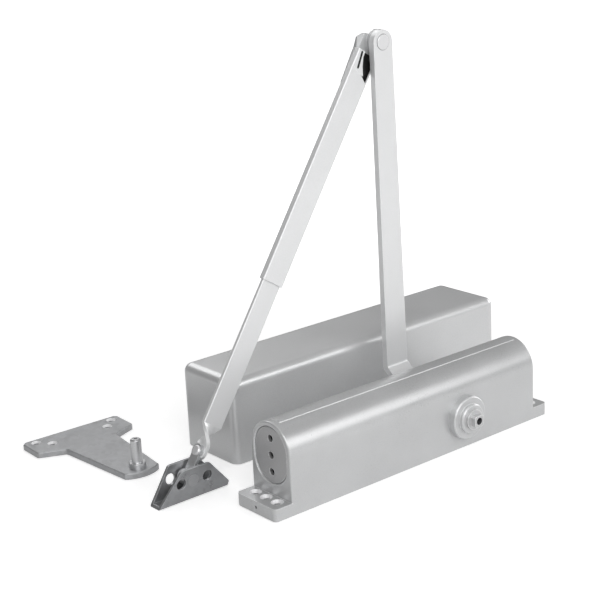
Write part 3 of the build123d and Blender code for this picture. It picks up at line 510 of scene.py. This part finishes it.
class Workshop:
    """Makes one Blender material for each finish and gives it to the CAD nodes."""

    COAT_ROUGHNESS: ClassVar[float] = 0.25
    PATTERN_SPREAD: ClassVar[float] = 0.22
    HIGHLIGHT_REACH: ClassVar[float] = 1.6
    # Painted shade inside the forearm's tube: how dark it is, and the box that it fills in the forearm's
    # frame.
    PAINTED_SHADE_DARKNESS: ClassVar[float] = 0.97
    INSIDE_LOWER: ClassVar[Triple] = (-0.0106, 0.0664, -0.2296)
    INSIDE_UPPER: ClassVar[Triple] = (0.0106, 0.07045, -0.0138)
    SAME_POINT: ClassVar[float] = 0.000001

    def __init__(self) -> None:
        self.effects = Effects()
        self.materials: dict[str, bpy.types.Material] = {}

    def material(self, slot: str) -> bpy.types.Material:
        """Get a finish's material, making it the first time.

        Args:
            slot: one of the record's material slots, or a shade.

        Returns:
            The procedural material.
        """
        if slot not in self.materials:
            self.materials[slot] = self._make(slot, FINISHES[slot])
        return self.materials[slot]

    def _make(self, name: str, finish: Finish) -> bpy.types.Material:
        """Build a material from a finish.

        Args:
            name: material name.
            finish: what it looks like.

        Returns:
            The new material.
        """
        material = bpy.data.materials.new("mat_" + name)
        material.use_nodes = True
        kit = NodeKit(material.node_tree)
        shader = material.node_tree.nodes["Principled BSDF"]
        shader.inputs["Metallic"].default_value = finish.metallic
        if finish.coat:
            shader.inputs["Coat Weight"].default_value = finish.coat
            shader.inputs["Coat Roughness"].default_value = self.COAT_ROUGHNESS
        grain = kit.group(self.effects.grain, Color=(*finish.color, 1.0), Scale=finish.grain_scale,
                          Color_Spread=finish.color_spread, Roughness=finish.roughness,
                          Rough_Spread=finish.rough_spread)
        color = grain.outputs["Color"]
        rough = grain.outputs["Roughness"]
        height = grain.outputs["Height"]
        if finish.pattern is not Pattern.PLAIN:
            mask = self._pattern_mask(kit, finish)
            spread = kit.maths("MULTIPLY", kit.maths("SUBTRACT", mask, 0.5), self.PATTERN_SPREAD)
            rough = kit.maths("ADD", rough, spread)
            color = kit.scaled(color, kit.maths("ADD", spread, 1.0))
            height = kit.maths("ADD", height, mask)
        # Painted highlight: lighten the colour along the edges.
        if finish.edge_highlight_gain:
            edge_highlight_mask = kit.group(self.effects.edges, Radius=finish.edge * self.HIGHLIGHT_REACH)
            lift = kit.maths("MULTIPLY", edge_highlight_mask.outputs["Mask"], finish.edge_highlight_gain)
            color = kit.scaled(color, kit.maths("ADD", lift, 1.0))
        # Painted shade: darken the colour inside the forearm's tube, where no light reaches.
        if finish.shade:
            dark = kit.maths("MULTIPLY", self._painted_shade_mask(kit), self.PAINTED_SHADE_DARKNESS * finish.shade)
            color = kit.scaled(color, kit.maths("SUBTRACT", 1.0, dark))
        kit.join(color, shader.inputs["Base Color"])
        kit.join(rough, shader.inputs["Roughness"])
        bevel = kit.add("ShaderNodeBevel", samples=4)
        bevel.inputs["Radius"].default_value = finish.edge
        bump = kit.add("ShaderNodeBump")
        bump.inputs["Distance"].default_value = finish.bump
        kit.join(height, bump.inputs["Height"])
        kit.join(bevel.outputs["Normal"], bump.inputs["Normal"])
        kit.join(bump.outputs["Normal"], shader.inputs["Normal"])
        return material

    def _pattern_mask(self, kit: NodeKit, finish: Finish) -> Socket:
        """Add the finish's pattern.

        Args:
            kit: the material's node kit.
            finish: what it looks like.

        Returns:
            The pattern's mask socket.
        """
        if finish.pattern is Pattern.TURNED:
            node = kit.group(self.effects.turned, Centre=finish.pattern_centre, Axis=finish.pattern_axis)
        else:
            node = kit.group(self.effects.spangle)
        return node.outputs["Mask"]

    def _painted_shade_mask(self, kit: NodeKit) -> Socket:
        """Add the mask of the painted shade inside the forearm's tube.

        Args:
            kit: the material's node kit.

        Returns:
            The mask's socket.
        """
        forearm = ForearmFrame.from_record()
        node = kit.group(self.effects.inside, Pivot=forearm.point(0.0, 0.0, 0.0), Across=forearm.across,
                         Along=forearm.along, Lower=self.INSIDE_LOWER, Upper=self.INSIDE_UPPER)
        return node.outputs["Mask"]

    def dress(self, name: str, shade: str = "") -> None:
        """Give a CAD node the material of its slot.

        Args:
            name: the node's name.
            shade: a shade of the slot's finish that this node has instead.
        """
        slot = next(p["material_slot"] for p in frame["record"]["subparts"] if p["node"] == name)
        node = frame["nodes"][name]
        node.data.materials.clear()
        node.data.materials.append(self.material(shade or slot))
        log.info("%s in %s", name, shade or slot)

    def piece(self, name: str, shape: Shape, slot: str, body: str) -> None:
        """Make one extra piece that rides on a CAD body.

        Args:
            name: object name.
            shape: its points, in metres, and the point numbers of each face.
            slot: its finish.
            body: the body that it moves with.
        """
        points, faces = shape
        mesh = bpy.data.meshes.new(name)
        mesh.from_pydata([tuple(p) for p in points], [], faces)
        build = bmesh.new()
        build.from_mesh(mesh)
        bmesh.ops.remove_doubles(build, verts=build.verts, dist=self.SAME_POINT)
        bmesh.ops.recalc_face_normals(build, faces=build.faces)
        build.to_mesh(mesh)
        build.free()
        mesh.materials.append(self.material(slot))
        made = bpy.data.objects.new(name, mesh)
        bpy.context.scene.collection.objects.link(made)
        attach(made, body)
        log.info("%s rides on %s", name, body)


def prism(outline: list[tuple[float, float]], near: float, far: float, forearm: ForearmFrame) -> Shape:
    """Make a flat piece on the forearm's near face.

    Args:
        outline: its corners, across and along the forearm.
        near: depth of its near face.
        far: depth of its far face.
        forearm: the forearm's frame.

    Returns:
        Points and faces.
    """
    count = len(outline)
    points = [forearm.point(u, depth, w) for depth in (near, far) for u, w in outline]
    faces: list[tuple[int, ...]] = [tuple(range(count)), tuple(range(2 * count - 1, count - 1, -1))]
    faces += [(i, i + count, (i + 1) % count + count, (i + 1) % count) for i in range(count)]
    return points, faces


def lathe(profile: list[tuple[float, float]], centre: Vector, axis: Triple, steps: int = 48) -> Shape:
    """Turn a closed profile about an axis that is square to the world's x.

    Args:
        profile: radius and place along the axis of each corner.
        centre: a point of the axis.
        axis: the axis's direction.
        steps: corners around.

    Returns:
        Points and faces.
    """
    ahead = Vector(axis)
    side = Vector(ALONG_X)
    other = ahead.cross(side)
    count = len(profile)
    points: list[Vector] = []
    faces: list[tuple[int, ...]] = []
    for i in range(steps):
        turn = 2.0 * math.pi * i / steps
        out = side * math.cos(turn) + other * math.sin(turn)
        points += [centre + out * radius + ahead * place for radius, place in profile]
    for i in range(steps):
        here, after = i * count, (i + 1) % steps * count
        for j in range(count):
            beside = (j + 1) % count
            faces.append((here + j, here + beside, after + beside, after + j))
    return points, faces


@dataclass(frozen=True)
class SinkLiner:
    """The bright cut surface in one kind of countersunk hole, a thin sleeve just proud of the CAD's.

    Args:
        bore: the screw hole's radius.
        rim: the countersink's radius.
        top: height of the face.
        depth: the countersink's depth.
        lift: how far its rim stands above the face.
        rim_width: width of its rim.
        inset: how far it reaches into the screw hole.
        cover: how far it reaches into the wall.
        length: how far it goes down the screw hole.
        step: where it meets the wall again below the countersink.
        back: how far its back starts below the face.
    """

    bore: float
    rim: float
    top: float
    depth: float
    lift: float = 0.00004
    rim_width: float = 0.0001
    inset: float = 0.00008
    cover: float = 0.00006
    length: float = 0.0006
    step: float = 0.0002
    back: float = 0.0001

    def at(self, x: float, y: float) -> Shape:
        """Make the liner of one hole.

        Args:
            x: the hole's place along x.
            y: the hole's place along y.

        Returns:
            Points and faces.
        """
        inner, outer = self.bore - self.inset, self.bore + self.cover
        face, floor = self.top + self.lift, self.top - self.depth
        profile = [(self.rim, face), (self.rim - self.rim_width, face), (inner, floor),
                   (inner, floor - self.length), (outer, floor - self.length), (outer, floor - self.step),
                   (self.rim, self.top - self.back)]
        return lathe(profile, Vector((x, y, 0.0)), ALONG_Z)


@dataclass
class Assembly:
    """One sub-assembly: the CAD nodes that it dresses and the pieces that it adds to them.

    Args:
        shop: makes its materials and its extra pieces.
    """

    shop: Workshop
    nodes: ClassVar[tuple[str, ...]] = ()
    shades: ClassVar[dict[str, str]] = {}

    def build(self) -> None:
        """Dress the nodes, then add the extra pieces."""
        for name in self.nodes:
            self.shop.dress(name, self.shades.get(name, ""))
        self.add_pieces()

    def add_pieces(self) -> None:
        """Add what the solids don't show; most sub-assemblies have nothing to add."""


@dataclass
class CloserHousing(Assembly):
    """The cast body with all that it holds in its main bore."""

    nodes: ClassVar[tuple[str, ...]] = (
        "closer_body", "spring_end_plate", "spring_end_plug", "spring_plug_seal", "spring_adjust_screw",
        "spring_seat", "main_spring", "piston_rack", "check_ball", "hydraulic_end_plug",
        "hydraulic_plug_seal", "sweep_valve", "latch_valve")
    shades: ClassVar[dict[str, str]] = {"hydraulic_end_plug": "plug_face"}
    hole_x: float = 0.1525
    hole_y: float = 0.0143
    sink: SinkLiner = SinkLiner(bore=0.0032, rim=0.0054, top=0.0112, depth=0.0022)

    def add_pieces(self) -> None:
        """The bright cut surfaces of the six foot holes."""
        for side in (-1, 1):
            for row in (-1, 0, 1):
                liner = self.sink.at(side * self.hole_x, row * self.hole_y)
                self.shop.piece(f"foot_sink_{side + 1}_{row + 1}", liner, "bare_cut", "closer")


@dataclass
class PinionDrive(Assembly):
    """The pinion shaft with its glands, bearings and seals."""

    nodes: ClassVar[tuple[str, ...]] = (
        "pinion_shaft", "gland_nut_near", "gland_nut_far", "pinion_bearing_near", "pinion_bearing_far",
        "pinion_seal_near", "pinion_seal_far")
    end_y: float = -0.0441
    thread_radius: float = 0.0034
    thread_gap: float = 0.00003
    thread_wall: float = 0.0001
    thread_depth: float = 0.0004
    thread_pitch: float = 0.00125
    thread_start: float = 0.0002
    thread_length: float = 0.0112
    around: int = 40
    rows_per_pitch: int = 6

    def add_pieces(self) -> None:
        """A real helical thread inside the pinion's end hole."""
        rows = int(self.thread_length / self.thread_pitch * self.rows_per_pitch)
        points = self._thread_layer(rows, inner=True) + self._thread_layer(rows, inner=False)
        ring = self.around * (rows + 1)
        faces: list[tuple[int, ...]] = []
        for layer in (0, ring):
            for j in range(rows):
                here = layer + j * self.around
                above = here + self.around
                faces += [(here + i, here + after, above + after, above + i) for i, after in self._around()]
        for j in (0, rows):
            here = j * self.around
            outer = ring + here
            faces += [(here + i, here + after, outer + after, outer + i) for i, after in self._around()]
        self.shop.piece("pinion_end_thread", (points, faces), "dark_steel", "pinion")

    def _around(self) -> list[tuple[int, int]]:
        """Each corner around, with the next one."""
        return [(i, (i + 1) % self.around) for i in range(self.around)]

    def _thread_layer(self, rows: int, inner: bool) -> list[Vector]:
        """Points of one side of the thread's sleeve.

        Args:
            rows: rows of faces along it.
            inner: whether this is the side with the teeth.

        Returns:
            The points, row by row.
        """
        axis_x, _, axis_z = PINION_CENTRE
        points: list[Vector] = []
        for j in range(rows + 1):
            depth = self.thread_length * j / rows
            for i in range(self.around):
                turn = 2.0 * math.pi * i / self.around
                radius = self.thread_radius - self.thread_gap
                if inner:
                    phase = (depth / self.thread_pitch - i / self.around) % 1.0
                    tooth = 1.0 - abs(2.0 * phase - 1.0)
                    radius -= self.thread_depth * tooth + self.thread_wall
                y = self.end_y + self.thread_start + depth
                points.append(Vector((axis_x + radius * math.cos(turn), y, axis_z + radius * math.sin(turn))))
        return points


@dataclass
class MainArm(Assembly):
    """The tapering arm with its screw and the elbow's rivet and washer."""

    nodes: ClassVar[tuple[str, ...]] = ("main_arm", "arm_washer", "arm_screw", "elbow_rivet", "elbow_washer")
    front: float = 0.0587
    rivet_radius: float = 0.0067
    seam_overlap: float = 0.0001
    seam_width: float = 0.0004
    seam_lift: float = 0.00005
    seam_depth: float = 0.0002

    def add_pieces(self) -> None:
        """A ring of painted shade in the gap between the rivet head and the arm."""
        pivot = Vector(body_joint("forearm")["pos_m"])
        inner, outer = self.rivet_radius - self.seam_overlap, self.rivet_radius + self.seam_width
        near, far = self.front - self.seam_lift, self.front + self.seam_depth
        profile = [(inner, near), (outer, near), (outer, far), (inner, far)]
        seam = lathe(profile, Vector((pivot.x, 0.0, pivot.z)), ALONG_Y)
        # Painted shade: a thin dark ring just proud of the arm round the rivet head.
        self.shop.piece("rivet_shade_ring", seam, "seam_painted_shade", "pinion")


@dataclass
class Forearm(Assembly):
    """The telescoping forearm: knuckle, channel, bar and clamp screw."""

    nodes: ClassVar[tuple[str, ...]] = (
        "forearm_knuckle", "forearm_channel", "forearm_clamp_screw", "forearm_bar")
    shades: ClassVar[dict[str, str]] = {"forearm_knuckle": "knuckle_painted_shade", "forearm_bar": "bar_paint"}
    near_face: float = 0.06525
    proud: float = 0.00004
    lip_thickness: float = 0.0012
    lip_outline: tuple[tuple[float, float], ...] = (
        (-0.0108, -0.0142), (-0.0042, -0.0142), (-0.0038, -0.0192), (-0.0006, -0.0262), (0.0040, -0.0334),
        (-0.0014, -0.0338), (-0.0108, -0.0300))
    slot_top: tuple[float, float] = (-0.0072, -0.0158)
    slot_end: tuple[float, float] = (-0.0050, -0.0292)
    slot_half: float = 0.0011
    slot_lift: float = 0.00005
    slot_thickness: float = 0.0003
    slot_steps: int = 12

    def add_pieces(self) -> None:
        """The part of the channel's near wall that reaches up beside the window, and a near-black sheet of
        painted shade where its slot is.
        """
        forearm = ForearmFrame.from_record()
        near = self.near_face - self.proud
        lip = prism(list(self.lip_outline), near, near + self.lip_thickness, forearm)
        self.shop.piece("channel_lip", lip, "arm_paint", "forearm")
        # Painted shade: a near-black sheet on the lip where the slot is.
        near -= self.slot_lift
        slot = prism(self._slot_outline(), near, near + self.slot_thickness, forearm)
        self.shop.piece("lip_slot_shade", slot, "slot_painted_shade", "forearm")

    def _slot_outline(self) -> list[tuple[float, float]]:
        """Corners of the round-ended slot."""
        (u0, w0), (u1, w1) = self.slot_top, self.slot_end
        heading = math.atan2(w1 - w0, u1 - u0)
        outline: list[tuple[float, float]] = []
        for (u, w), start in (((u1, w1), heading - math.pi / 2), ((u0, w0), heading + math.pi / 2)):
            for i in range(self.slot_steps + 1):
                turn = start + math.pi * i / self.slot_steps
                outline.append((u + self.slot_half * math.cos(turn), w + self.slot_half * math.sin(turn)))
        return outline


@dataclass
class ShoeEnd(Assembly):
    """The swivel link and the shoe that screws to the frame."""

    nodes: ClassVar[tuple[str, ...]] = ("swivel", "swivel_rivet", "shoe", "shoe_rivet")
    shades: ClassVar[dict[str, str]] = {"shoe_rivet": "rivet_zinc"}


@dataclass
class CoverBox(Assembly):
    """The loose drawn cover."""

    nodes: ClassVar[tuple[str, ...]] = ("cover",)


@dataclass
class ParallelBracket(Assembly):
    """The loose parallel-arm bracket with its stud."""

    nodes: ClassVar[tuple[str, ...]] = ("bracket_plate", "bracket_stud")
    turn: float = -2.1
    holes: tuple[tuple[float, float], ...] = ((0.0400, 0.1124), (0.0292, 0.1010))
    sink: SinkLiner = SinkLiner(bore=0.0030, rim=0.0046, top=0.0055, depth=0.0016)

    def add_pieces(self) -> None:
        """The bright cut surfaces of the four plate holes."""
        stud_x, stud_y, _ = STUD_CENTRE
        turn = math.radians(self.turn)
        for index, (u, v) in enumerate(self.holes):
            for side in (-1, 1):
                x = stud_x + side * u * math.cos(turn) - v * math.sin(turn)
                y = stud_y + side * u * math.sin(turn) + v * math.cos(turn)
                name = f"plate_sink_{index}_{side + 1}"
                self.shop.piece(name, self.sink.at(x, y), "bare_cut", "loose_bracket")


@dataclass(frozen=True)
class Lamp:
    """One soft rectangular lamp.

    Args:
        name: object name.
        spot: where it is, in metres.
        size: width and height in metres.
        power: in watts.
        aim: where it points.
    """

    name: str
    spot: Triple
    size: tuple[float, float]
    power: float
    aim: Triple = (0.0, 0.05, 0.1)


LAMPS: tuple[Lamp, ...] = (
    Lamp("key", (-1.2, -1.8, 1.7), (2.3, 2.1), 39.5),
    Lamp("front", (0.9, -1.9, 1.1), (1.6, 1.1), 13.0),
    Lamp("low", (0.2, -2.4, 0.35), (2.0, 0.6), 5.0),
    Lamp("right", (2.3, -0.2, 0.7), (1.2, 1.0), 14.0),
    Lamp("back", (0.3, 1.9, 1.7), (2.0, 1.0), 13.0),
    Lamp("overhead", (0.1, 0.2, 2.2), (1.8, 1.2), 5.0),
)


@dataclass(frozen=True)
class CameraPose:
    """The photograph's camera.

    Args:
        target: point it is aimed at, in metres.
        distance: from the target, in metres.
        yaw: turn about the vertical, in degrees.
        pitch: height angle, in degrees.
        roll: turn about the view line, in degrees.
        focal: focal length in pixels.
        pixels: width of the frame in pixels.
        sensor: width of the sensor in millimetres.
        reach: how far it sees, in metres.
    """

    target: Triple = (0.1142, 0.2715, 0.06127)
    distance: float = 1.579
    yaw: float = -39.13
    pitch: float = 17.27
    roll: float = -2.79
    focal: float = 1499.1
    pixels: float = 600.0
    sensor: float = 36.0
    reach: float = 20.0


@dataclass(frozen=True)
class Surroundings:
    """The plain floor and the even light around the set.

    Args:
        sky: strength of the surroundings as light; the camera sees them white.
        color: the floor's colour.
        roughness: the floor's roughness.
        half: half the floor's side, in metres.
        drop: how far the floor lies below the set, in metres.
        middle: where the floor's glow is weakest.
        fade: distances from there between which the glow rises, in metres.
        glow: the glow's strength before and after the rise.
    """

    sky: float = 0.19
    color: tuple[float, float, float, float] = (0.86, 0.86, 0.86, 1.0)
    roughness: float = 0.55
    half: float = 6.0
    drop: float = 0.0002
    middle: Triple = (0.02, 0.06, 0.0)
    fade: tuple[float, float] = (0.3, 0.75)
    glow: tuple[float, float] = (0.42, 1.0)


class Studio:
    """Camera, lamps, floor and surroundings.

    Args:
        pose: the photograph's camera.
        ground: the floor and the surroundings.
    """

    WHITE: ClassVar[tuple[float, float, float, float]] = (1.0, 1.0, 1.0, 1.0)

    def __init__(self, pose: CameraPose = CameraPose(), ground: Surroundings = Surroundings()) -> None:
        self.pose = pose
        self.ground = ground

    def build(self) -> None:
        """Set up everything that isn't the object."""
        self._camera()
        self._world()
        self._lamps()
        self._floor()
        bpy.context.scene.view_settings.view_transform = "Standard"

    def _camera(self) -> None:
        """Place the camera from the fitted angles."""
        pose = self.pose
        yaw, pitch, roll = (math.radians(v) for v in (pose.yaw, pose.pitch, pose.roll))
        back = Vector((math.sin(yaw) * math.cos(pitch), -math.cos(yaw) * math.cos(pitch), math.sin(pitch)))
        right = Vector((math.cos(yaw), math.sin(yaw), 0.0))
        up = back.cross(right)
        rolled_right = right * math.cos(roll) + up * math.sin(roll)
        rolled_up = up * math.cos(roll) - right * math.sin(roll)
        data = bpy.data.cameras.new("camera")
        data.sensor_width = pose.sensor
        data.lens = pose.focal * pose.sensor / pose.pixels
        data.clip_end = pose.reach
        camera = bpy.data.objects.new("camera", data)
        bpy.context.scene.collection.objects.link(camera)
        spot = Vector(pose.target) + back * pose.distance
        turn = Matrix((rolled_right, rolled_up, back)).transposed().to_4x4()
        camera.matrix_world = Matrix.Translation(spot) @ turn
        bpy.context.scene.camera = camera

    def _world(self) -> None:
        """Even surroundings, white to the camera and much dimmer as light."""
        world = bpy.data.worlds.new("studio")
        world.use_nodes = True
        bpy.context.scene.world = world
        kit = NodeKit(world.node_tree)
        back = world.node_tree.nodes["Background"]
        back.inputs["Color"].default_value = self.WHITE
        seen = kit.add("ShaderNodeLightPath").outputs["Is Camera Ray"]
        sky = self.ground.sky
        strength = kit.maths("ADD", kit.maths("MULTIPLY", seen, 1.0 - sky), sky)
        kit.join(strength, back.inputs["Strength"])

    def _lamps(self) -> None:
        """Set up the soft lamps."""
        for lamp in LAMPS:
            data = bpy.data.lights.new(lamp.name, "AREA")
            data.shape = "RECTANGLE"
            data.size, data.size_y = lamp.size
            data.energy = lamp.power
            holder = bpy.data.objects.new(lamp.name, data)
            bpy.context.scene.collection.objects.link(holder)
            holder.location = lamp.spot
            towards = Vector(lamp.aim) - Vector(lamp.spot)
            holder.rotation_euler = towards.to_track_quat("-Z", "Y").to_euler()

    def _floor(self) -> None:
        """Plain pale floor that keeps the set's shadow and turns white farther out."""
        ground = self.ground
        corners = [(side_x * ground.half, side_y * ground.half, -ground.drop)
                   for side_x, side_y in ((-1, -1), (1, -1), (1, 1), (-1, 1))]
        mesh = bpy.data.meshes.new("floor")
        mesh.from_pydata(corners, [], [(0, 1, 2, 3)])
        floor = bpy.data.objects.new("floor", mesh)
        bpy.context.scene.collection.objects.link(floor)
        material = bpy.data.materials.new("mat_floor")
        material.use_nodes = True
        kit = NodeKit(material.node_tree)
        shader = material.node_tree.nodes["Principled BSDF"]
        shader.inputs["Base Color"].default_value = ground.color
        shader.inputs["Roughness"].default_value = ground.roughness
        shader.inputs["Emission Color"].default_value = self.WHITE
        away = kit.vector("DISTANCE", kit.place(), ground.middle)
        rise = kit.add("ShaderNodeMapRange", interpolation_type="SMOOTHSTEP")
        kit.join(away.outputs["Value"], rise.inputs["Value"])
        rise.inputs["From Min"].default_value, rise.inputs["From Max"].default_value = ground.fade
        rise.inputs["To Min"].default_value, rise.inputs["To Max"].default_value = ground.glow
        seen = kit.add("ShaderNodeLightPath").outputs["Is Camera Ray"]
        lift = kit.maths("MULTIPLY", seen, rise.outputs["Result"])
        kit.join(lift, shader.inputs["Emission Strength"])
        mesh.materials.append(material)


def main() -> None:
    """Dress the closer and set up the studio."""
    logging.basicConfig(level=logging.INFO)
    shop = Workshop()
    for assembly in (CloserHousing, PinionDrive, MainArm, Forearm, ShoeEnd, CoverBox, ParallelBracket):
        assembly(shop).build()
        log.info("built %s", assembly.__name__)
    Studio().build()
    log.info("dressed %d nodes", len(frame["nodes"]))


if __name__ == "__main__":
    main()
